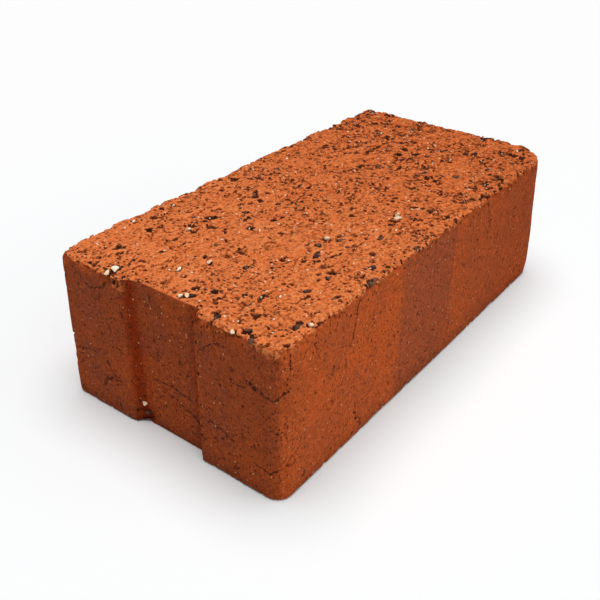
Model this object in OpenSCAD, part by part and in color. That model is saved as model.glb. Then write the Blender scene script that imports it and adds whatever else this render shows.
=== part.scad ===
// Rectangular concrete paving stone, cast in one piece, with a shallow upright channel in one end.
// The stone lies on its bed: X runs along its length, Y across it, and Z up to the wearing face.
// The origin is the middle of the bed. The channelled end is at -X and the plain end at +X.
// The near side is at -Y and the far side at +Y.

/* [Stone] */
// Length between the two ends
stone_length = 200; // [120:1:400]
// Width between the two long sides
stone_width = 100; // [70:1:250]
// Thickness from the bed to the wearing face
stone_height = 60; // [40:1:120]

/* [Edges] */
// Radius of the upright corner between the channelled end and the near side
channel_near_corner = 6; // [4:0.5:15]
// Radius of the upright corner between the channelled end and the far side
channel_far_corner = 4; // [4:0.5:15]
// Radius of the upright corner between the plain end and the near side, the most worn of the four
plain_near_corner = 11; // [4:0.5:15]
// Radius of the upright corner between the plain end and the far side
plain_far_corner = 5; // [4:0.5:15]
// Radius of the worn arris round the wearing face
top_arris = 1.8; // [0.5:0.1:2]
// Radius of the arris round the bed
bed_arris = 1.2; // [0.5:0.1:2]

/* [End channel] */
// Width of the channel's mouth in the end face
channel_width = 33; // [20:0.5:50]
// Depth of the channel's flat floor behind the end face
channel_depth = 3.5; // [2:0.1:6]
// Distance of the channel's middle from the stone's middle, towards the coved bank
channel_offset = 0.8; // [-6:0.1:6]
// Radius of the cove that runs from the floor out to the end face as a bank
cove_radius = 11; // [7:0.5:16]
// Radius of the crisp arrises at the top and bottom of the channel
channel_arris = 0.6; // [0.3:0.1:2]

/* [Hidden] */
$fn = 96;

// How far a cutting shape reaches past the faces that it cuts
overrun = 1;

// The end and the side that each upright corner joins, and its radius
corners = [
    [-1, -1, channel_near_corner],
    [-1, 1, channel_far_corner],
    [1, -1, plain_near_corner],
    [1, 1, plain_far_corner],
];

end_face = -stone_length / 2;
channel_floor = end_face + channel_depth;
step_wall = channel_offset - channel_width / 2;
bank_top = channel_offset + channel_width / 2;

// The cove touches the floor at the bank's foot and meets the end face at the bank's top
cove_axis = channel_floor - cove_radius;
bank_foot = bank_top - sqrt(cove_radius ^ 2 - (cove_radius - channel_depth) ^ 2);

// Upright half section of the stone, from a middle plane out to a face, with both arrises
module edge_section(reach) {
    top = min(top_arris, reach);
    bed = min(bed_arris, reach);
    difference() {
        square([reach, stone_height]);
        difference() {
            translate([reach - bed, -overrun]) square(bed + overrun);
            translate([reach - bed, bed]) circle(bed);
        }
        difference() {
            translate([reach - top, stone_height - top]) square(top + overrun);
            translate([reach - top, stone_height - top]) circle(top);
        }
    }
}

// An upright turned from that section, as at each corner
module post(radius) {
    rotate_extrude() edge_section(radius);
}

// A straight run of that section along Y, out to a face at +X
module run(reach, length) {
    translate([0, length, 0])
        rotate([90, 0, 0])
            linear_extrude(length)
                edge_section(reach);
}

// A quarter of the block: a run to its end, a run to its side, and a post where they meet
module quarter(radius) {
    run(stone_length / 2, stone_width / 2 - radius);
    mirror([1, -1, 0]) run(stone_width / 2, stone_length / 2 - radius);
    translate([stone_length / 2 - radius, stone_width / 2 - radius, 0]) post(radius);
}

// The whole block, one quarter for each upright corner
module block() {
    for (corner = corners)
        mirror([corner.x < 0 ? 1 : 0, 0, 0])
            mirror([0, corner.y < 0 ? 1 : 0, 0])
                quarter(corner.z);
}

// Upright section of the hollow in front of a face, flared to give that face its two arrises
module hollow_section(reach) {
    translate([0, -overrun]) square([reach, stone_height + 2 * overrun]);
    difference() {
        translate([reach, -overrun]) square([channel_arris, channel_arris + overrun]);
        translate([reach + channel_arris, channel_arris]) circle(channel_arris);
    }
    difference() {
        translate([reach, stone_height - channel_arris]) square([channel_arris, channel_arris + overrun]);
        translate([reach + channel_arris, stone_height - channel_arris]) circle(channel_arris);
    }
}

// The hollow in front of the flat floor, from the step to the foot of the bank
module floor_cut() {
    translate([cove_axis, bank_foot, 0])
        rotate([90, 0, 0])
            linear_extrude(bank_foot - step_wall)
                hollow_section(cove_radius);
}

// The hollow in front of the coved bank
module cove_cut() {
    translate([cove_axis, bank_foot, 0])
        rotate_extrude(angle = 90)
            hollow_section(cove_radius);
}

module paving_stone() {
    color("#a85a36")
        difference() {
            block();
            floor_cut();
            cove_cut();
        }
}

paving_stone();
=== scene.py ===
"""A red-brown concrete paving stone on a pale studio floor.

The stone is one closed mesh, laid out as a box of grid lines and bent to the solid's own outline.
Its torn wearing face, pits, gouges and chips are moved into that mesh, which is then thinned.
The larger grains of aggregate are two more meshes, one dark and one cream, half sunk in the face.
Sizes are in millimetres unless a name says otherwise.
"""
import math

import bmesh
import bpy
import numpy as np
from mathutils import Matrix, Vector


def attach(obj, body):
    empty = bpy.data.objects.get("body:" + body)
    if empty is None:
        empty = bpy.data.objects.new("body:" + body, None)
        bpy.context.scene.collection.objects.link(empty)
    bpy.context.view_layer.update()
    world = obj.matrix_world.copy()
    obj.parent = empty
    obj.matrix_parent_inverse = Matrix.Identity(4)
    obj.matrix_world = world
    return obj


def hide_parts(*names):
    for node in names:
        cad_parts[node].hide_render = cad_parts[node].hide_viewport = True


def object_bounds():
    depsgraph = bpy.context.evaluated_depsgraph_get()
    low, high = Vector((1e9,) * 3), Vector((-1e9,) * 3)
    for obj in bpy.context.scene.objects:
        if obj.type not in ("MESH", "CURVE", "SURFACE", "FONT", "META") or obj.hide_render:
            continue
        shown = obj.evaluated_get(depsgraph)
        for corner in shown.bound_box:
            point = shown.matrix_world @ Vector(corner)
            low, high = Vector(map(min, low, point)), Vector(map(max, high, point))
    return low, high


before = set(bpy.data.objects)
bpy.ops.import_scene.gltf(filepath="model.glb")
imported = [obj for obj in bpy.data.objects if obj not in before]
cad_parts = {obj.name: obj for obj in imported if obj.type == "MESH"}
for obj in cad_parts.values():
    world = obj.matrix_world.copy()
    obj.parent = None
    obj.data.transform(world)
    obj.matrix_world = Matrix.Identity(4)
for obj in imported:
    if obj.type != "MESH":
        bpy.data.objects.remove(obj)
cad_low, cad_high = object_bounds()

MM = 0.001

# The solid's own sizes
LENGTH, WIDTH, HEIGHT = (size / MM for size in cad_high - cad_low)
CHANNEL_NEAR_CORNER = 6.0
CHANNEL_FAR_CORNER = 4.0
PLAIN_NEAR_CORNER = 11.0
PLAIN_FAR_CORNER = 5.0
TOP_ARRIS = 1.8
BED_ARRIS = 1.2
CHANNEL_ARRIS = 0.6
CHANNEL_DEPTH = 3.5
COVE = 11.0
STEP_Y = -15.7
BANK_TOP_Y = 17.3
BANK_FOOT_Y = BANK_TOP_Y - math.sqrt(COVE ** 2 - (COVE - CHANNEL_DEPTH) ** 2)

# How far behind the end face the channel's mouth is taken to reach
MOUTH_REACH = 8.0

# Grid spacing before the mesh is thinned, and the triangles that are left after it
GRID = 0.42
GRID_UP = 0.6
TRIANGLES = 185_000

# How far the highest crumbs of the torn face stand above the solid's flat top, and a crumb's usual depth
FACE_RISE = 0.45
CRUMB_DEPTH = 0.3

# Round pits torn out of the wearing face: cell, share of cells with a pit, least and most radius, depth
PIT_SIZES = [
    (8.0, 0.70, 0.9, 2.6, 1.5),
    (3.6, 0.45, 0.5, 1.25, 1.0),
    (1.8, 0.50, 0.25, 0.62, 0.7),
]

# Dark grains on the wearing face: place along X and Y, and length
DARK_GRAINS = [
    (-91, -7.5, 2.4), (-84, 33.5, 4.2), (-39, 13.5, 3.0), (-20, 26.5, 3.4), (-21, 13, 2.2),
    (6, 35.5, 2.4), (-2, 17.5, 1.8), (-67.5, -10, 2.8), (-62, 9, 2.0), (-78, -4.5, 2.0),
    (-85.5, -11.5, 2.4), (-95.5, -22, 3.4), (-95.5, -34.5, 2.6), (-98, -38, 2.6), (-84.5, -45, 3.2),
    (-67, -35, 2.4), (-47, -24, 3.2), (-44.5, -22.5, 2.6), (-39.5, -19.5, 2.4), (-56, -35.5, 2.0),
    (-65.5, -44.5, 3.0), (-31.5, -23.5, 2.2), (39.5, 21.5, 2.4), (36, 3.5, 2.6), (-50, -48.0, 2.6),
    (-47.6, -48.0, 2.4), (-41, -43, 2.6), (-20.5, -34, 2.8), (40, -16, 3.0), (-20, -48.0, 3.0),
    (68.5, -10, 2.2), (46.5, -28.5, 3.4), (62.5, -36, 2.6), (74, -41.5, 2.4),
]

# Cream grains on the wearing face: place along X and Y, and length
CREAM_GRAINS = [
    (-95, 24, 3.0), (-98.4, 24, 2.4), (-94, -5, 2.1), (-92.5, -6.5, 2.0), (-82, 7, 2.2),
    (-72, 2.5, 2.0), (-58.5, 25, 1.9), (-66.5, 45.5, 1.5), (-47.5, 44, 1.4), (-98.7, -31, 2.0),
    (-82, -47.4, 2.2), (-34, -19, 2.4), (-3, -30, 3.2), (-1, -28.5, 2.2), (90, -37, 1.6),
]

# Gouges dragged along the wearing face: both ends, half width, depth
GOUGES = [
    ((-66.5, -3.5), (-56, -4.2), 0.5, 0.9),
    ((-46, -27), (-37.5, -29.5), 0.8, 1.2),
    ((-36, 28), (-22, 30.5), 0.45, 0.7),
    ((-33, 24.5), (-24, 27), 0.45, 0.8),
    ((-90, -15), (-83, -16.5), 0.5, 0.8),
    ((-20, 41), (-4, 43.5), 0.6, 0.9),
    ((-8, 38.5), (2, 40), 0.5, 0.9),
    ((-35, -30.5), (-27, -31.5), 0.5, 0.8),
    ((10, -12), (19, -14), 0.45, 0.7),
    ((52, 24), (60, 22), 0.5, 0.9),
    ((24, -43.5), (37.5, -48), 0.7, 1.5),
    ((33, -5), (44, -8), 0.7, 1.2),
    ((60, -12), (72, -16), 0.8, 1.3),
    ((70, -2), (80, -3), 0.7, 1.2),
]

# Upright corners worn in towards the top: the end and the side that meet there,
# and how far the top of the corner has moved. The wear starts this far from the corner.
WORN_CORNERS = [
    ((1, -1), (-3.2, 3.2, -1.0)),
    ((-1, 1), (0.9, -0.9, -0.5)),
]
CORNER_REACH = 22.0

# Wear that rounds the top of the channel's bank: depth, width, and reach behind the end face
BANK_WEAR = 0.45
BANK_WEAR_WIDTH = 1.7
BANK_WEAR_REACH = 5.0

# Pieces knocked off the edges: middle, half lengths along X, Y and Z, depth
CHIPS = [
    ((-100, 22, 59), (5, 6.5, 5), 1.6),
    ((-97.5, 14.0, 4.2), (4.4, 4.0, 5.4), 3.0),
    ((-30, 50, 60), (8, 4, 4), 1.3),
    ((-100, -17.5, 60), (4, 4, 4), 1.2),
    ((27, -50, 60), (7, 3.5, 4), 1.2),
    ((75, -50, 0), (3, 3, 2.2), 1.2),
    ((97, -47, 0), (9, 9, 8), 2.2),
]

# Pebbles in the broken foot of the channel's bank: middle, length
CREAM_PEBBLE = ((-97.3, 14.1, 9.2), 2.6)
DARK_PEBBLE = ((-96.6, 13.6, 4.6), 2.2)

# Hairline cracks of the channelled end and the near side, as runs of points.
# A point is its place along, which is X less Y, and its height.
CRACKS = [
    [(-10, 57), (-11.2, 50), (-13.6, 42)],
    [(-9.2, 16), (-8.6, 10), (-5.5, 6.2), (-4.6, 3)],
    [(-44.8, 57), (-45.4, 50)],
    [(-64, 44.5), (-59, 43), (-52.7, 41), (-45, 44.7)],
    [(-61, 12.6), (-54.6, 12), (-50, 13), (-44.6, 17.2), (-41, 19)],
    [(-105.1, 21.4), (-96.5, 22.6), (-87.2, 20.9)],
    [(-101.5, 20), (-88.5, 15), (-81.5, 10)],
    [(-82.5, 20.4), (-74.3, 19.2), (-69, 17.4)],
    [(-133.8, 52.2), (-129, 52), (-123.7, 55.9)],
    [(-145, 21), (-137.3, 24), (-134.2, 23.5)],
    [(-128.5, 22.2), (-127.2, 18.9), (-123.1, 17)],
    [(-126, 15.6), (-121.4, 16.2)],
    [(-69.4, 41.3), (-65.3, 41.2), (-62.6, 42.2)],
    [(-78.7, 50.8), (-76.8, 52.1), (-73.6, 53.2)],
    [(-133, 10), (-130, 14), (-126, 17)],
    [(84, 58), (86, 51), (89, 46)],
]

# Size of the cells whose borders carry the stray cracks
STRAY_CELL = 14.0

# The brown band across the near side
BAND_FROM = -31.0
BAND_TO = 7.5


# Noise

def scramble(cells, seed):
    """A number from 0 to 1 for each whole-number cell, the same on every run."""
    h = np.full(cells.shape[:-1], (seed * 2654435761 + 97) % 2 ** 32, np.uint32)
    for axis, prime in zip(range(cells.shape[-1]), (73856093, 19349663, 83492791)):
        h ^= (cells[..., axis].astype(np.int64) * prime % 2 ** 32).astype(np.uint32)
        h ^= h >> np.uint32(15)
        h *= np.uint32(2246822519)
        h ^= h >> np.uint32(13)
        h *= np.uint32(3266489917)
    h ^= h >> np.uint32(16)
    return h.astype(np.float64) / 2 ** 32


def noise(points, size, seed):
    """Smooth noise from -1 to 1 with humps about size wide."""
    p = points / size
    low = np.floor(p)
    f = p - low
    f = f * f * f * (f * (6 * f - 15) + 10)
    low = low.astype(np.int64)
    total = 0
    for corner in np.ndindex(2, 2, 2):
        share = np.prod(np.where(corner, f, 1 - f), axis=1)
        total = total + share * scramble(low + corner, seed)
    return 2 * total - 1


def rough(points, size, seed, octaves=3):
    """Noise on several scales, each half the last."""
    total, reach = 0, 0
    for k in range(octaves):
        total = total + noise(points, size / 2 ** k, seed + k) / 2 ** k
        reach += 0.5 ** k
    return total / reach


def spots(points, size, seed):
    """The offset from the nearest of a flat scatter, one spot in each square cell, and its three draws."""
    low = np.floor(points / size).astype(np.int64)
    best = np.full(len(points), np.inf)
    offset = np.zeros((len(points), 2))
    nearest = np.zeros((len(points), 2), np.int64)
    for shift in np.ndindex(3, 3):
        cell = low + shift - 1
        place = np.stack([scramble(cell, seed), scramble(cell, seed + 1)], 1)
        away = points - (cell + place) * size
        far = (away ** 2).sum(1)
        closer = far < best
        best[closer] = far[closer]
        offset[closer] = away[closer]
        nearest[closer] = cell[closer]
    return offset, [scramble(nearest, seed + k) for k in (2, 3, 4)]


def ease(x, low, high):
    """Smooth step from 0 at low to 1 at high."""
    t = np.clip((x - low) / (high - low), 0, 1)
    return t * t * (3 - 2 * t)


# The stone's surface before wear

def grid_lines(half, spacing, step=None):
    """Evenly spaced lines from -half to half, with a close pair at a step in the outline."""
    at = np.linspace(-half, half, round(2 * half / spacing) + 1)
    if step is None:
        return at
    pair = 0.03
    at = at[np.abs(at - step) > spacing / 2]
    return np.sort(np.append(at, [step - pair, step + pair]))


def box_grid(xs, ys, zs):
    """Points and outward quads of a box whose faces are ruled by these lines."""
    nx, ny, nz = len(xs), len(ys), len(zs)
    i, j, k = np.arange(nx), np.arange(ny), np.arange(nz)

    def code(i, j, k):
        return (i * ny + j) * nz + k

    def face(codes, flip):
        corners = [codes[:-1, :-1], codes[1:, :-1], codes[1:, 1:], codes[:-1, 1:]]
        quads = np.stack(corners, -1).reshape(-1, 4)
        return quads[:, ::-1] if flip else quads

    faces = []
    for side in (0, 1):
        faces.append(face(code(i[:, None], j[None, :], side * (nz - 1)), side == 0))
        faces.append(face(code(i[:, None], side * (ny - 1), k[None, :]), side == 1))
        faces.append(face(code(side * (nx - 1), j[:, None], k[None, :]), side == 0))
    used, quads = np.unique(np.concatenate(faces), return_inverse=True)
    points = np.stack([xs[used // (ny * nz)], ys[used // nz % ny], zs[used % nz]], 1)
    return points, quads.reshape(-1, 4)


def recess(y):
    """How far the channelled end lies behind the end face: an upright step, a flat floor and a coved bank."""
    cove = COVE - CHANNEL_DEPTH
    bank = np.sqrt(np.clip(COVE ** 2 - (y - BANK_FOOT_Y) ** 2, cove ** 2, None)) - cove
    past_step = np.where(y < BANK_FOOT_Y, CHANNEL_DEPTH, np.where(y < BANK_TOP_Y, bank, 0))
    return np.where(y < STEP_Y, 0, past_step)


def in_mouth(x, y):
    """Where the end is open as the channel."""
    return (x < -LENGTH / 2 + MOUTH_REACH) & (y > STEP_Y) & (y < BANK_TOP_Y)


def bend_to_outline(p):
    """Moves the points of a plain box onto the stone: arrises, upright corners, then the end channel."""
    half = np.array([LENGTH / 2, WIDTH / 2])
    x, y, z = p.T
    inset = half - np.abs(p[:, :2])
    least = inset.min(1)
    # each arris takes the last stretch of the side and of the face above or below it round a quarter circle
    moved, up = least.copy(), z.copy()
    mouth = in_mouth(x, y)
    for radius, height, way in ((TOP_ARRIS, HEIGHT - z, -1), (BED_ARRIS, z, 1)):
        arris = np.where(mouth, CHANNEL_ARRIS, radius)
        near = (least < arris) & (height < arris)
        across, along = (arris - least)[near], (arris - height)[near]
        scale = np.maximum(across, along) / np.maximum(np.hypot(across, along), 1e-9)
        moved[near] = arris[near] - across * scale
        up[near] += way * along * (1 - scale)
    fade = 3.0
    inset = inset + (moved - least)[:, None] * np.clip(1 - (inset - least[:, None]) / fade, 0, 1)
    flat = np.sign(p[:, :2]) * (half - inset)
    # the upright corners: rings of the plan further in have a smaller radius
    corner = np.where(
        x < 0,
        np.where(y < 0, CHANNEL_NEAR_CORNER, CHANNEL_FAR_CORNER),
        np.where(y < 0, PLAIN_NEAR_CORNER, PLAIN_FAR_CORNER),
    )
    ring = np.maximum(corner, moved)[:, None]
    core = np.clip(flat, -(half - ring), half - ring)
    out = flat - core
    radius = np.maximum(corner - moved, 0)
    size = np.hypot(*out.T)
    turn = (np.abs(out) > 1e-9).all(1)
    flat[turn] = core[turn] + out[turn] * (radius[turn] / size[turn])[:, None]
    # the channel pushes the end back, and the push dies away into the stone
    reach = 40.0
    into = flat[:, 0] + half[0]
    flat[:, 0] += recess(flat[:, 1]) * np.clip(1 - into / reach, 0, 1)
    return np.column_stack([flat, up])


def point_normals(points, quads):
    a, b, c, d = (points[quads[:, n]] for n in range(4))
    flat = np.cross(c - a, d - b)
    total = np.zeros_like(points)
    for n in range(4):
        for axis in range(3):
            total[:, axis] += np.bincount(quads[:, n], flat[:, axis], len(points))
    return total / np.maximum(np.linalg.norm(total, axis=1), 1e-12)[:, None]


def smooth(values, quads, times):
    """The values, each averaged with those of the quads around it, this many times."""
    corners = quads.ravel()
    count = np.bincount(corners)
    for _ in range(times):
        values = np.bincount(corners, np.repeat(values[quads].mean(1), 4)) / count
    return values


# Wear

def grain_angle(place):
    """Turn of a grain about the upright: most lie along the drag of the face."""
    return 0.5 * math.sin(12.9 * place[0] + 7.7 * place[1])


def bowl(across, radius):
    """A rounded hollow, 1 deep in its middle and 0 from its radius on."""
    return np.clip(1 - (across / radius) ** 2, 0, 1)


def swell(p):
    """The slow rise and fall of the wearing face below its plane."""
    return 0.2 * (1 + rough(p, 26, seed=11))


def round_pits(p, plan):
    """Depth of the round pits, which crowd together in patches."""
    crowd = 0.5 + 0.7 * ease(rough(p, 15, seed=33, octaves=2), -0.5, 0.5)
    pit = np.zeros(len(p))
    for cell, share, least, most, deep in PIT_SIZES:
        offset, (present, size, draw) = spots(plan, cell, seed=int(100 * cell))
        radius = least + (most - least) * size ** 2
        hole = deep * (0.4 + 0.6 * draw) * bowl(np.hypot(*offset.T), radius)
        pit = np.maximum(pit, np.where(present < share * crowd, hole, 0))
    return pit


def grain_beds(p, plan):
    """Depth of the ragged hollows in which the listed grains lie."""
    pit = np.zeros(len(p))
    for x, y, length in DARK_GRAINS + CREAM_GRAINS:
        near = np.flatnonzero(np.hypot(plan[:, 0] - x, plan[:, 1] - y) < length)
        turn = grain_angle((x, y))
        along = (plan[near] - (x, y)) @ (math.cos(turn), math.sin(turn))
        over = (plan[near] - (x, y)) @ (-math.sin(turn), math.cos(turn))
        ragged = 1 + 0.4 * noise(p[near], 1.1, seed=39)
        bed = 1.3 * np.sqrt(bowl(np.hypot(along, over / 0.75) * ragged, 0.64 * length))
        pit[near] = np.maximum(pit[near], bed)
    return pit


def gouge_cuts(p, plan):
    """Depth of the gouges, narrower towards their ends and broken along their length."""
    broken = np.clip(1.0 + 1.2 * noise(p, 2.4, seed=38), 0, 1)
    pit = np.zeros(len(p))
    for start, end, half_width, deep in GOUGES:
        start, end = np.array(start), np.array(end)
        way = end - start
        share = np.clip((plan - start) @ way / (way @ way), 0, 1)
        across = np.hypot(*(plan - start - share[:, None] * way).T)
        taper = 0.35 + 0.65 * np.sqrt(np.clip(4 * share * (1 - share), 0, 1))
        pit = np.maximum(pit, broken * deep * bowl(across, half_width * taper))
    return pit


def torn_face(p):
    """Depth of the wearing face below its plane, and the part of it that is pits, tears, gouges and beds."""
    warp = np.column_stack([rough(p, 2.4, seed=31), rough(p, 2.4, seed=37)])
    plan = p[:, :2] + 1.5 * warp
    drawn = np.column_stack([0.3 * plan[:, 0], plan[:, 1], p[:, 2]])
    tear = ease(rough(drawn, 1.8, seed=34), 0.36, 0.62) * ease(noise(p, 13, seed=36), 0.0, 0.5)
    lip = 0.06
    flake = rough(p * (0.6, 1, 1), 6.0, seed=45, octaves=5)
    edge = np.exp(-(flake / lip) ** 2) * ease(noise(p, 5.0, seed=49), 0.0, 0.4)
    cuts = [round_pits(p, plan), 0.8 * tear, grain_beds(p, plan), gouge_cuts(p, plan), 0.55 * edge]
    pit = np.maximum.reduce(cuts)
    crumbs = 0.26 * (1 + rough(p, 2.6, seed=21, octaves=4)) + 0.55 * ease(flake, -lip, lip)
    return swell(p) + crumbs + pit - FACE_RISE, pit


def cast_skin(p):
    """Depth of the sides below their planes: a slow wave and a fine grain drawn upwards."""
    drawn = p * (1, 1, 0.3)
    return 0.10 * (1 + rough(p, 22, seed=41, octaves=2)) + 0.03 * (1 + noise(drawn, 1.8, seed=51))


def ragged_arris(p):
    """Bites out of the edges: next to none along the channel's crisp mouth, few at the plain far corner."""
    x, y, z = p.T
    ends, sides = LENGTH / 2 - np.abs(x), WIDTH / 2 - np.abs(y)
    at_edge = np.exp(-(np.clip(np.minimum(ends, sides), 0, None) / 2.2) ** 2)
    top = at_edge * ease(z, HEIGHT - 5, HEIGHT - 1)
    bed = at_edge * ease(-z, -4, -0.5)
    upright = np.exp(-(np.clip(np.maximum(ends, sides), 0, None) / 7) ** 2)
    large_bites = 1.7 * ease(rough(p, 6.5, seed=61), 0.0, 0.6)
    bites = large_bites + 1.0 * ease(rough(p, 1.9, seed=71), -0.05, 0.4)
    large_nicks = 0.4 * ease(rough(p, 9.0, seed=63), 0.1, 0.6)
    nicks = large_nicks + 0.8 * ease(rough(p, 1.9, seed=73, octaves=2), 0.05, 0.5)
    kept = 0.7 * ease(x, LENGTH / 2 - 18, LENGTH / 2) * ease(y, WIDTH / 2 - 12, WIDTH / 2)
    lost = (1 - kept) * top * bites + np.maximum(0.7 * bed, (1 - kept) * upright) * nicks
    return np.where(in_mouth(x, y), 0.05, lost)


def worn_bank(p):
    """How far the top of the channel's bank is rounded off."""
    off = (p[:, 1] - BANK_TOP_Y) / BANK_WEAR_WIDTH
    return BANK_WEAR * np.exp(-off ** 2) * (p[:, 0] < -LENGTH / 2 + BANK_WEAR_REACH)


def worn_corners(p):
    """How far each point has moved with the worn upright corners, most at the top."""
    x, y, z = p.T
    moved = np.zeros_like(p)
    for (end, side), lost in WORN_CORNERS:
        past_end = ease(end * x, LENGTH / 2 - CORNER_REACH, LENGTH / 2)
        past = past_end * ease(side * y, WIDTH / 2 - CORNER_REACH, WIDTH / 2)
        moved += (past * ease(z, 5, HEIGHT + 10))[:, None] * lost
    return moved


def wear(p, normals):
    """How far each point has worn back along its normal, how hollow it is, and how far it faces up."""
    up = ease(normals[:, 2], 0.25, 0.8)
    depth = ragged_arris(p) + worn_bank(p)
    hollow = np.zeros(len(p))
    face, sides = up > 0, up < 1
    torn, pit = torn_face(p[face])
    depth[face] += up[face] * torn
    hollow[face] = up[face] * ease(pit, 0.15, 0.9)
    depth[sides] += (1 - up[sides]) * cast_skin(p[sides])
    for middle, halves, deep in CHIPS:
        away = np.linalg.norm((p - middle) / halves, axis=1)
        near = np.flatnonzero(away < 1)
        crumble = 0.6 + 0.9 * rough(p[near], 2.6, seed=81)
        depth[near] += deep * bowl(away[near], 1) * np.clip(crumble, 0, None)
    return depth, hollow, up


def make_mesh(name, points, faces):
    """An object from points in millimetres and faces of one size."""
    mesh = bpy.data.meshes.new(name)
    sides = faces.shape[1]
    mesh.vertices.add(len(points))
    mesh.vertices.foreach_set("co", (points * MM).astype(np.float32).ravel())
    mesh.loops.add(faces.size)
    mesh.loops.foreach_set("vertex_index", faces.astype(np.int32).ravel())
    mesh.polygons.add(len(faces))
    mesh.polygons.foreach_set("loop_start", np.arange(0, faces.size, sides, dtype=np.int32))
    mesh.polygons.foreach_set("use_smooth", np.ones(len(faces), bool))
    mesh.update(calc_edges=True)
    mesh.validate()
    made = bpy.data.objects.new(name, mesh)
    bpy.context.scene.collection.objects.link(made)
    return made


def thin(piece, triangles):
    """Collapses a mesh to about this many triangles, fewest where it is flat."""
    modifier = piece.modifiers.new("thin", "DECIMATE")
    modifier.ratio = triangles / (2 * len(piece.data.polygons))
    dense = piece.data
    scene = bpy.context.evaluated_depsgraph_get()
    piece.data = bpy.data.meshes.new_from_object(piece.evaluated_get(scene))
    piece.modifiers.clear()
    bpy.data.meshes.remove(dense)
    piece.data.name = piece.name


def build_stone():
    """The stone, with marks of its wear and shape that the finish reads, partly to paint shade and highlight.
    """
    points, quads = box_grid(
        grid_lines(LENGTH / 2, GRID),
        grid_lines(WIDTH / 2, GRID, STEP_Y),
        grid_lines(HEIGHT / 2, GRID_UP) + HEIGHT / 2,
    )
    points = bend_to_outline(points)
    points += worn_corners(points)
    normals = point_normals(points, quads)
    depth, hollow, upward = wear(points, normals)
    piece = make_mesh("stone", points - normals * depth[:, None], quads)
    # how far a point lies above those around it, which the finish turns into painted shade in dips and
    # painted highlight on crests
    crest = smooth(depth, quads, 5) - depth
    for name, values in (("hollow", hollow), ("upward", upward), ("crest", crest)):
        mark = piece.data.attributes.new(name, "FLOAT", "POINT")
        mark.data.foreach_set("value", values.astype(np.float32))
    thin(piece, TRIANGLES)
    return piece


# Grains

# Half lengths of a grain, and how far it rises above its middle, as shares of its length
GRAIN_HALVES = np.array([0.60, 0.44, 0.38])
GRAIN_RISE = 0.27

# Flat faces that cut a grain out of a ball
GRAIN_FACES = 10


def ball(subdivisions):
    """Points and triangles of a ball of radius 1."""
    bm = bmesh.new()
    bmesh.ops.create_icosphere(bm, subdivisions=subdivisions, radius=1)
    bm.verts.index_update()
    points = np.array([v.co for v in bm.verts])
    faces = np.array([[v.index for v in f.verts] for f in bm.faces])
    bm.free()
    return points, faces


def chisel(points, draw):
    """A ball of radius 1 cut down to a lump by a few flat faces."""
    lump = points.copy()
    for facing in draw.normal(size=(GRAIN_FACES, 3)):
        facing /= np.linalg.norm(facing)
        over = np.clip(lump @ facing - draw.uniform(0.42, 0.85), 0, None)
        lump -= over[:, None] * facing
    return lump


def on_face(places, proud):
    """Middles and lengths of grains sunk in the wearing face, each proud of it by a share of its length."""
    flat = np.array([(x, y, HEIGHT) for x, y, _ in places])
    level = HEIGHT + FACE_RISE - CRUMB_DEPTH - swell(flat) + worn_corners(flat)[:, 2] - ragged_arris(flat)
    return [((x, y, z + (proud - GRAIN_RISE) * length), length) for (x, y, length), z in zip(places, level)]


def build_grains(name, grains, seed):
    """Lumps joined into one mesh: the middle and the length of each."""
    draw = np.random.default_rng(seed)
    points, faces = ball(3)
    all_points, all_faces = [], []
    for n, (middle, length) in enumerate(grains):
        lump = chisel(points, draw)
        lump *= 1 + 0.12 * rough(points + 9.7 * n, 0.6, seed)[:, None]
        lump *= GRAIN_HALVES * length
        turn = grain_angle(middle) + draw.uniform(-0.4, 0.4)
        lump[:, :2] = lump[:, :2] @ [[math.cos(turn), math.sin(turn)], [-math.sin(turn), math.cos(turn)]]
        all_points.append(lump + middle)
        all_faces.append(faces + n * len(points))
    return make_mesh(name, np.concatenate(all_points), np.concatenate(all_faces))


def scattered(count, least, most, seed):
    """More grains, placed by a seeded draw clear of the edges, the channel's mouth and the worn corner."""
    draw = np.random.default_rng(seed)
    x = draw.uniform(-LENGTH / 2 + 4, LENGTH / 2 - 4, count)
    y = draw.uniform(-WIDTH / 2 + 3, WIDTH / 2 - 3, count)
    length = least + (most - least) * draw.uniform(0, 1, count) ** 2
    clear = (x - y < LENGTH / 2 + WIDTH / 2 - 14) & ~in_mouth(x - 3, y)
    return list(zip(x[clear], y[clear], length[clear]))


# Materials

class Wire:
    """An output of a shader node.

    Arithmetic on it adds Math nodes, or Vector Math nodes where it is a vector.
    """

    def __init__(self, nodes, socket):
        self.nodes = nodes
        self.socket = socket

    def math(self, operation, *terms):
        kind = "ShaderNodeVectorMath" if self.socket.type == "VECTOR" else "ShaderNodeMath"
        return self.nodes.node(kind, {"operation": operation}, dict(enumerate(terms)))

    def __add__(self, other):
        return self.math("ADD", self, other)

    def __radd__(self, other):
        return self.math("ADD", other, self)

    def __sub__(self, other):
        return self.math("SUBTRACT", self, other)

    def __rsub__(self, other):
        return self.math("SUBTRACT", other, self)

    def __mul__(self, other):
        return self.math("MULTIPLY", self, other)

    def __rmul__(self, other):
        return self.math("MULTIPLY", other, self)

    def __abs__(self):
        return self.math("ABSOLUTE", self)


class Nodes:
    """The nodes of a material or of the world."""

    def __init__(self, tree):
        self.tree = tree
        self.tree.nodes.clear()

    def node(self, kind, settings=None, sockets=None, out=0):
        """Adds a node: its settings first, then the values or links of its sockets."""
        made = self.tree.nodes.new(kind)
        for key, value in (settings or {}).items():
            setattr(made, key, value)
        for key, value in (sockets or {}).items():
            if isinstance(value, Wire):
                self.tree.links.new(value.socket, made.inputs[key])
            else:
                made.inputs[key].default_value = value
        if isinstance(out, tuple):
            return tuple(Wire(self, made.outputs[key]) for key in out)
        return Wire(self, made.outputs[out]) if made.outputs else None


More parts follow.
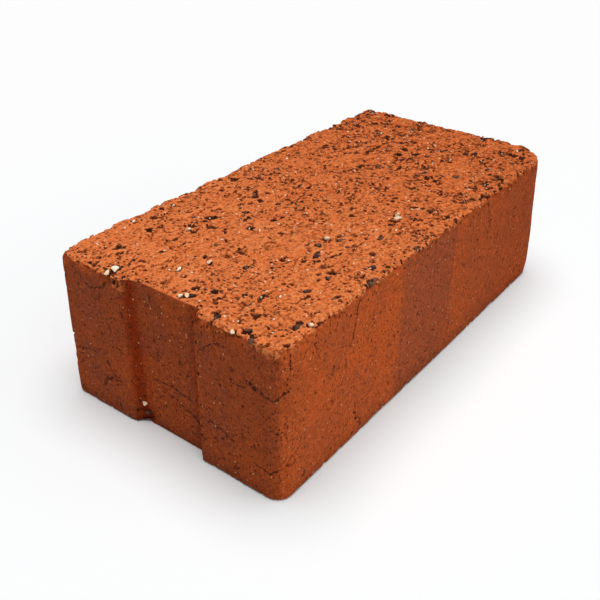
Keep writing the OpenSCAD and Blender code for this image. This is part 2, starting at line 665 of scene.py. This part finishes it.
class Finish(Nodes):
    """A material, worked out from the place on the stone in millimetres."""

    def __init__(self, name):
        self.material = bpy.data.materials.new(name)
        self.material.use_nodes = True
        super().__init__(self.material.node_tree)
        place = self.node("ShaderNodeTexCoord", out="Object")
        self.at = self.node("ShaderNodeVectorMath", {"operation": "SCALE"}, {0: place, "Scale": 1 / MM})

    def axes(self, vector):
        return self.node("ShaderNodeSeparateXYZ", None, {0: vector}, (0, 1, 2))

    def mark(self, name):
        """A value that the mesh carries on its points."""
        return self.node("ShaderNodeAttribute", {"attribute_name": name}, None, "Fac")

    def noise(self, size, detail=3, at=None):
        """Cloudy noise about 0.5, with clouds about size wide."""
        sockets = {"Vector": at or self.at, "Scale": 1 / size, "Detail": detail, "Roughness": 0.55}
        return self.node("ShaderNodeTexNoise", {"noise_dimensions": "3D"}, sockets)

    def drift(self, size, detail, roughness):
        """The same kind of noise as a colour, by which moved shifts a place."""
        sockets = {"Vector": self.at, "Scale": 1 / size, "Detail": detail, "Roughness": roughness}
        return self.node("ShaderNodeTexNoise", {"noise_dimensions": "3D"}, sockets, "Color")

    def moved(self, at, drift, reach):
        """A place in a plane, shifted up to this far by a drift."""
        sockets = {0: drift, 1: (reach, reach, 0), 2: at}
        return self.node("ShaderNodeVectorMath", {"operation": "MULTIPLY_ADD"}, sockets)

    def step(self, value, low, high):
        """0 at low and 1 at high, with soft ends."""
        sockets = {"Value": value, "From Min": low, "From Max": high}
        return self.node("ShaderNodeMapRange", {"interpolation_type": "SMOOTHSTEP"}, sockets)

    def clamp(self, value):
        return self.node("ShaderNodeClamp", None, {"Value": value})

    def mix(self, factor, a, b):
        """Colour a at 0 and colour b at 1."""
        return self.node("ShaderNodeMix", {"data_type": "RGBA"}, {0: factor, 6: a, 7: b}, 2)

    def shade(self, colour, amount):
        """A colour times a number."""
        return self.node("ShaderNodeVectorMath", {"operation": "SCALE"}, {0: colour, "Scale": amount})

    def dots(self, at, size, share, radius, soft):
        """Round spots in a plane, and a draw for each.

        There is one in each of this share of the cells, with a radius of its own up to the one given.
        """
        sockets = {"Vector": at, "Scale": 1 / size}
        flat = {"voronoi_dimensions": "2D"}
        distance, colour = self.node("ShaderNodeTexVoronoi", flat, sockets, ("Distance", "Color"))
        draw, other = self.node("ShaderNodeSeparateColor", None, {0: colour}, (0, 1))
        reach = self.step(draw, 1 - share, 1) * radius
        return self.clamp((reach - distance * size) * (1 / soft)), other

    def bump(self, height):
        """A bump from a height in millimetres."""
        return self.node("ShaderNodeBump", None, {"Strength": 1.0, "Distance": MM, "Height": height})

    def surface(self, **sockets):
        """The shader itself, from its sockets by name with _ for a space."""
        named = {key.replace("_", " "): value for key, value in sockets.items()}
        shader = self.node("ShaderNodeBsdfPrincipled", None, named)
        self.node("ShaderNodeOutputMaterial", None, {"Surface": shader})
        return self.material


# Colours of the torn face, of the cast skin, and of the hollows and specks in both
WHITE = (1, 1, 1, 1)
TORN = (0.70, 0.173, 0.0465, 1)
# the pale and the deep colour also paint highlight on crests and shade in dips
TORN_PALE_AND_CREST_HIGHLIGHT = (0.84, 0.260, 0.085, 1)
TORN_DEEP_AND_DIP_SHADE = (0.42, 0.082, 0.020, 1)
# painted shade: the redder tint of the torn face towards the far end
FAR_FACE_SHADE = (1.07, 0.955, 0.85, 1)
SKIN = (0.455, 0.083, 0.0155, 1)
SKIN_BROWN = (0.400, 0.077, 0.0180, 1)
SKIN_ORANGE = (0.475, 0.090, 0.0165, 1)
BAND = (0.334, 0.0697, 0.0209, 1)
# painted shade: the duller tint of the end face
END_SHADE = (0.69, 0.695, 0.82, 1)
# painted shade: the redder tint of the skin towards the far end
FAR_SKIN_SHADE = (1.0, 0.92, 0.83, 1)
END_PURPLE = (0.340, 0.073, 0.0225, 1)
# a darker band down the channel's bank, and painted shade in its crease and in the corner of the step
BANK_DARK_AND_SHADE = (0.300, 0.032, 0.0030, 1)
# painted shade: the dark red and the near black put in pits, pores, cracks and deep hollows
PIT_SHADE_RED = (0.125, 0.027, 0.009, 1)
HOLLOW_SHADE = (0.028, 0.009, 0.005, 1)
SPECK = (0.95, 0.78, 0.56, 1)
PALE_FLECK = (0.80, 0.42, 0.23, 1)

# The darkest and palest parts of the dark and the cream grains
DARK_GRAIN_COLOURS = (0.045, 0.019, 0.013, 1), (0.19, 0.092, 0.062, 1)
CREAM_GRAIN_COLOURS = (0.92, 0.66, 0.40, 1), (1.0, 0.93, 0.76, 1)


class Concrete(Finish):
    """The stone's own finish: torn on the wearing face, and a cast skin on the sides."""

    def __init__(self, name):
        super().__init__(name)
        self.x, self.y, self.z = self.axes(self.at)
        self.cloud = self.noise(8, 4)
        self.grit = self.noise(1.3, 4)
        self.fine = self.noise(0.5, 3)
        self.mottle = self.noise(0.8, 3)
        self.patch = self.noise(2.2, 3)
        self.edge_wave = (self.noise(8, 3) - 0.5) * 3.0
        self.upward = self.mark("upward")
        self.near_side = self.step(0 - self.y, WIDTH / 2 - 4, WIDTH / 2 - 2)
        at_end = self.step(0 - self.x, LENGTH / 2 - 8, LENGTH / 2 - 6)
        self.near_end = at_end * self.step(self.y - self.x, WIDTH / 2 - 2, WIDTH / 2 + 3)
        self.torn = self.torn_share()

    def torn_share(self):
        """1 on the torn face and 0 on the cast skin: they meet in a ragged line, crisp at the channel."""
        mouth = self.near_end * self.step(self.y, STEP_Y - 0.4, STEP_Y + 0.4)
        mouth = mouth * self.step(0 - self.y, -BANK_TOP_Y, 2 - BANK_TOP_Y)
        ragged = (self.noise(5.0, 2) - 0.5) * 4.0 + (self.noise(1.6, 3) - 0.5) * 4.0
        # the line lies lower at the top of the bank, on the near pier and at the near corner of the end
        broken = self.near_end * self.step(abs(self.y - (BANK_TOP_Y + 1.2)), 5, 1.5)
        corner_at = LENGTH / 2 + WIDTH / 2
        corner = self.step(0 - self.x - self.y, corner_at - 14, corner_at - 5)
        lower = self.near_end * self.step(0 - self.y, 0, 15) + 3.5 * broken + 1.6 * corner
        by_height = self.step(self.z + ragged + lower, HEIGHT - 1.7, HEIGHT - 0.6)
        return self.clamp(by_height * (1 - mouth) + self.step(self.upward, 0.3, 0.7))

    def face_colour(self):
        """The torn face, mottled, with painted shade in its dips, painted highlight on its crests, and
        painted shade where it turns down at the arrises and towards the far end.
        """
        crest = self.mark("crest")
        face = self.mix(0.5 * self.step(self.cloud, 0.52, 0.28), TORN, TORN_DEEP_AND_DIP_SHADE)
        face = self.mix(0.5 * self.step(self.cloud, 0.50, 0.74), face, TORN_PALE_AND_CREST_HIGHLIGHT)
        face = self.mix(0.85 * self.step(self.grit, 0.50, 0.30), face, TORN_DEEP_AND_DIP_SHADE)
        face = self.mix(0.80 * self.step(self.grit, 0.51, 0.70), face, TORN_PALE_AND_CREST_HIGHLIGHT)
        # painted shade in the dips of the relief and painted highlight on its crests
        face = self.mix(0.85 * self.step(crest, -0.03, -0.25), face, TORN_DEEP_AND_DIP_SHADE)
        face = self.mix(0.60 * self.step(crest, 0.03, 0.20), face, TORN_PALE_AND_CREST_HIGHLIGHT)
        # painted shade: the face is darker and redder towards the far end
        away = 1.11 - 0.19 * self.step(self.x, -90, 110)
        # painted shade where the face turns down over the arrises, away from the light above
        turned_shade = 0.70 + 0.30 * self.step(self.upward, 0.1, 0.95)
        face = self.shade(face, away * turned_shade * (0.40 + 1.2 * self.fine))
        return face * self.mix(self.step(self.x, -60, 100), WHITE, FAR_FACE_SHADE)

    def band_share(self):
        """The brown band across the near side: its far edge fades towards the bed."""
        band = self.step(self.x + self.edge_wave, BAND_FROM - 2.2, BAND_FROM + 2.2)
        fade = 1.2 + 10 * self.step(0 - self.z, -34, -8)
        band_end = self.step(BAND_TO + fade - self.x - self.edge_wave, 0, 2 * fade)
        return band * band_end * self.near_side

    def bank_darkening_and_shade(self):
        """A darker band down the channel's bank, and painted shade in the crease at its foot and in the
        corner of the step.
        """
        across = self.y + self.edge_wave * 0.25
        # a darker band down the channel's bank
        dark_bank = self.step(across, BANK_FOOT_Y + 1.6, BANK_FOOT_Y + 5.2)
        dark_bank = dark_bank * self.step(0 - across, -1.2 - BANK_TOP_Y, 2.0 - BANK_TOP_Y)
        # painted shade in the crease at the foot of the bank
        crease = self.step(abs(across - (BANK_FOOT_Y + 1.8)), 1.0, 0.3)
        crease = crease * self.step(0 - self.z, -45, -15)
        # painted shade in the corner of the step
        step_corner_shade = self.step(self.y, STEP_Y + 7, STEP_Y + 3) * self.step(self.y, STEP_Y - 0.2, STEP_Y + 0.2)
        return self.near_end * self.clamp(0.95 * dark_bank + 0.4 * crease + 0.5 * step_corner_shade)

    def skin_colour(self):
        """The cast skin of the sides, drawn a little upwards, with painted shade on the end and towards the
        far end, and darker towards the bed.
        """
        drawn = self.noise(7, 3, self.at * (1, 1, 0.5))
        purple = self.near_end * self.step(self.noise(15, 3), 0.46, 0.62)
        skin = self.mix(self.step(self.noise(26, 3), 0.38, 0.62), SKIN_BROWN, SKIN)
        skin = self.mix(0.3 * self.step(drawn, 0.5, 0.72), skin, SKIN_ORANGE)
        skin = self.mix(0.7 * purple, skin, END_PURPLE)
        skin = self.mix(self.band_share(), skin, BAND)
        # a darker band down the channel's bank, and painted shade in its crease and in the corner of the step
        skin = self.mix(self.bank_darkening_and_shade(), skin, BANK_DARK_AND_SHADE)
        streak = self.noise(1.1, 3, self.at * (1, 1, 0.3))
        sharp = 0.90 + 0.60 * self.clamp(self.near_end + self.step(self.x, 10, 80))
        grime = (0.92 + 0.16 * streak) * (0.28 + 1.44 * self.mottle) * (0.72 + 0.56 * self.patch)
        grime = grime * (1 + sharp * (self.fine - 0.5)) * (0.75 + 0.50 * self.grit)
        # painted shade: darker and redder towards the far end
        length_shade = 1.035 - 0.30 * self.step(self.x, -60, 100)
        # darker towards the bed: brown dirt, and painted shade next to the floor
        foot = 0.82 + 0.18 * self.step(self.z, 0, 7)
        # painted shade on the end face
        skin = self.shade(skin, length_shade * grime * foot) * self.mix(self.near_end, WHITE, END_SHADE)
        return skin * self.mix(self.step(self.x, 30, 90), WHITE, FAR_SKIN_SHADE)

    def face_pores(self, at):
        """Pinholes and holes of the torn face, crowded in its dark clouds, larger away from the channel."""
        crowd = self.step(self.cloud, 0.60, 0.36)
        coarse = self.step(self.x, -70, 90)
        pinholes, _ = self.dots(at, size=1.4, share=0.85, radius=0.57 + 0.24 * coarse, soft=0.10)
        holes, _ = self.dots(at, size=3.1, share=0.62, radius=0.92 + 0.70 * coarse, soft=0.15)
        return self.clamp(pinholes * (0.35 + 0.65 * crowd) + holes * (0.15 + 0.85 * crowd)) * self.torn

    def listed_cracks(self, at):
        """The listed hairline cracks, broken here and there."""
        nearest = None
        for run in CRACKS:
            for start, end in zip(run, run[1:]):
                way = Vector(end) - Vector(start)
                off = at - (*start, 0)
                share = {0: off, 1: (*(way / way.length_squared), 0)}
                along = self.node("ShaderNodeVectorMath", {"operation": "DOT_PRODUCT"}, share, "Value")
                foot = self.shade((*way, 0), self.clamp(along))
                gap = self.node("ShaderNodeVectorMath", {"operation": "DISTANCE"}, {0: off, 1: foot}, "Value")
                nearest = gap if nearest is None else nearest.math("MINIMUM", nearest, gap)
        return self.step(nearest, 0.30, 0.12) * self.step(self.noise(2.0, 2), 0.28, 0.44)

    def stray_cracks(self, at):
        """Short broken hairlines along the borders of large cells."""
        cells = {"voronoi_dimensions": "2D", "feature": "DISTANCE_TO_EDGE"}
        border = self.node("ShaderNodeTexVoronoi", cells, {"Vector": at, "Scale": 1 / STRAY_CELL})
        return self.step(border * STRAY_CELL, 0.20, 0.04) * self.step(self.noise(6.0, 2), 0.54, 0.66)

    def skin_marks(self, side_at, worn_at):
        """Pores, pits, upright dashes and cracks of the cast skin."""
        wander = self.drift(2.6, 5, 0.75)
        reach = 6.5
        crack_at = self.moved(side_at - (reach / 2, reach / 2, 0), wander, reach)
        pore_size = 0.22 + 0.30 * self.step(self.patch, 0.40, 0.62)
        pores, _ = self.dots(worn_at * (1, 0.8, 0), size=1.25, share=0.50, radius=pore_size, soft=0.10)
        pits, _ = self.dots(worn_at, size=4.6, share=0.24, radius=0.66, soft=0.14)
        dashes, _ = self.dots(crack_at * (1, 0.30, 0), size=3.8, share=0.28, radius=0.40, soft=0.14)
        cracks = self.listed_cracks(crack_at) * self.clamp(self.near_side + self.near_end)
        cracks = cracks + 0.8 * self.stray_cracks(crack_at)
        return self.clamp(0.70 * pores + 0.75 * pits + 0.7 * dashes + 0.95 * cracks) * (1 - self.torn)

    def finished(self):
        """The whole finish, with its hollows, pores, cracks and specks of pale sand; the dark in its hollows,
        pores and cracks is painted shade.
        """
        torn, skin_share = self.torn, 1 - self.torn
        hollow = self.mark("hollow")
        warp = self.drift(1.1, 2, 0.5)
        top_at = self.moved(self.at, warp, 0.6)
        side_at = self.node("ShaderNodeCombineXYZ", None, {0: self.x - self.y, 1: self.z})
        worn_at = self.moved(side_at, warp, 0.6)

        colour = self.mix(torn, self.skin_colour(), self.face_colour())
        # painted shade in the pits of the mesh
        colour = self.mix(0.95 * self.step(hollow, 0.05, 0.6), colour, PIT_SHADE_RED)
        pores = self.face_pores(top_at)
        # painted shade in the pinholes and holes of the torn face
        colour = self.mix(0.96 * pores, colour, self.mix(self.step(pores, 0.2, 0.7), PIT_SHADE_RED, HOLLOW_SHADE))
        marks = self.skin_marks(side_at, worn_at)
        # painted shade in the pores, pits, dashes and cracks of the skin
        colour = self.mix(marks, colour, HOLLOW_SHADE)
        # painted shade, near black, in the deepest pits of the mesh
        colour = self.mix(0.8 * self.step(hollow, 0.55, 1.0), colour, HOLLOW_SHADE)

        specks, tint = self.dots(top_at, size=2.7, share=0.24, radius=0.46, soft=0.08)
        flecks, _ = self.dots(worn_at - (1.3, 0.7, 0), size=2.6, share=0.22, radius=0.34, soft=0.08)
        speck_colour = self.mix(self.step(tint, 0.0, 0.6), PALE_FLECK, SPECK)
        colour = self.mix(0.9 * specks * torn, colour, speck_colour)
        colour = self.mix(0.7 * flecks * skin_share, colour, PALE_FLECK)

        height = torn * (0.8 * (self.grit - 0.5) + 0.30 * self.fine)
        height = height + skin_share * (0.14 * self.mottle + 0.14 * self.patch - 0.3 * marks)
        height = height - 0.5 * pores + 0.10 * specks * torn
        return self.surface(Base_Color=colour, Roughness=0.90 + 0.10 * self.fine, Specular_IOR_Level=0.08,
                            Normal=self.bump(height))


def aggregate(name, dark, pale):
    """The mottled face of small grains, some darker than others."""
    f = Finish(name)
    mottle = f.noise(0.9, 4)
    colour = f.mix(f.step(f.noise(5.0, 1) * 0.5 + mottle * 0.5, 0.36, 0.66), dark, pale)
    return f.surface(Base_Color=colour, Roughness=0.72 + 0.2 * mottle, Specular_IOR_Level=0.15,
                     Normal=f.bump(0.25 * mottle))


# The stone and its grains

stone = build_stone()
stone.data.materials.append(Concrete("red_brown_concrete").finished())

dark_places = on_face(DARK_GRAINS + scattered(count=90, least=0.9, most=2.0, seed=5), proud=-0.08)
dark_grains = build_grains("dark_grains", dark_places + [DARK_PEBBLE], seed=300)
dark_grains.data.materials.append(aggregate("dark_aggregate", *DARK_GRAIN_COLOURS))

cream_places = on_face(CREAM_GRAINS + scattered(count=90, least=0.6, most=1.2, seed=6), proud=0.06)
cream_grains = build_grains("cream_grains", cream_places + [CREAM_PEBBLE], seed=400)
cream_grains.data.materials.append(aggregate("cream_aggregate", *CREAM_GRAIN_COLOURS))

# Camera

CAMERA_AT = Vector((-237.8, -159.6, 186.9)) * MM
CAMERA_RIGHT = Vector((0.6025, -0.7981, 0.0080))
CAMERA_UP = Vector((0.4160, 0.3226, 0.8502))
LENS = 46.60

eye = bpy.data.cameras.new("camera")
eye.lens = LENS
eye.sensor_width = 36
eye.clip_start = 0.01
camera = bpy.data.objects.new("camera", eye)
bpy.context.scene.collection.objects.link(camera)
back = CAMERA_RIGHT.cross(CAMERA_UP).normalized()
side = CAMERA_UP.cross(back).normalized()
turn = Matrix((side, back.cross(side), back)).transposed()
camera.matrix_world = Matrix.Translation(CAMERA_AT) @ turn.to_4x4()
bpy.context.scene.camera = camera

# Floor and light

FLOOR_HALF = 4000.0
FLOOR_WHITE = (0.97, 0.97, 0.97, 1)
# painted tints that cancel the red light the stone bounces onto the paper
FLOOR_BOUNCE_TINT_AROUND = (0.955, 0.978, 0.985, 1)
FLOOR_BOUNCE_TINT_BESIDE = (0.885, 0.965, 0.975, 1)
SKY = 0.08


def white_paper():
    """Paper with a painted cool tint around the stone and along the foot of its near side, which cancels the
    red light the stone bounces there.
    """
    f = Finish("white_paper")
    reach = f.node("ShaderNodeVectorMath", {"operation": "LENGTH"}, {0: f.at}, "Value")
    x, y, _ = f.axes(f.at)
    beside = f.step(y, -WIDTH / 2 - 34, -WIDTH / 2 - 3) * f.step(0 - y, -WIDTH / 2, WIDTH / 2)
    beside = beside * f.step(x, -LENGTH / 2 - 20, -LENGTH / 2 + 20)
    beside = beside * f.step(0 - x, -LENGTH / 2 - 15, -LENGTH / 2 + 45)
    pale = f.mix(f.step(reach, 320, 110), FLOOR_WHITE, FLOOR_BOUNCE_TINT_AROUND)
    pale = f.mix(beside, pale, FLOOR_BOUNCE_TINT_BESIDE)
    return f.surface(Base_Color=pale, Roughness=0.9, Specular_IOR_Level=0.0)


floor_corners = FLOOR_HALF * np.array([[-1, -1, 0], [1, -1, 0], [1, 1, 0], [-1, 1, 0]])
floor = make_mesh("floor", floor_corners, np.array([[0, 1, 2, 3]]))
floor.data.materials.append(white_paper())


def sun(name, towards, strength, spread):
    """A wide soft lamp far away, shining in this direction, with its spread in degrees."""
    lamp = bpy.data.lights.new(name, "SUN")
    lamp.energy = strength
    lamp.angle = math.radians(spread)
    made = bpy.data.objects.new(name, lamp)
    made.rotation_euler = Vector(towards).to_track_quat("-Z", "Y").to_euler()
    bpy.context.scene.collection.objects.link(made)


sun("softbox", (0, 0, -1), strength=2.46, spread=52)
sun("side_fill", (-0.05, 1.0, -0.5), strength=0.98, spread=100)

# the world is white where it is seen, and a faint light otherwise
world = bpy.data.worlds.new("studio")
world.use_nodes = True
studio = Nodes(world.node_tree)
ray_kinds = ("Is Camera Ray", "Is Glossy Ray", "Is Transmission Ray")
camera_ray, glossy_ray, through_ray = studio.node("ShaderNodeLightPath", out=ray_kinds)
seen = camera_ray.math("MAXIMUM", camera_ray, glossy_ray)
seen = seen.math("MAXIMUM", seen, through_ray)
sky = studio.node("ShaderNodeBackground", None, {"Color": WHITE, "Strength": SKY + (1 - SKY) * seen})
studio.node("ShaderNodeOutputWorld", None, {"Surface": sky})
bpy.context.scene.world = world

bpy.context.scene.view_settings.view_transform = "Standard"

for piece in (stone, dark_grains, cream_grains):
    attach(piece, "root")
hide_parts("paving_stone")
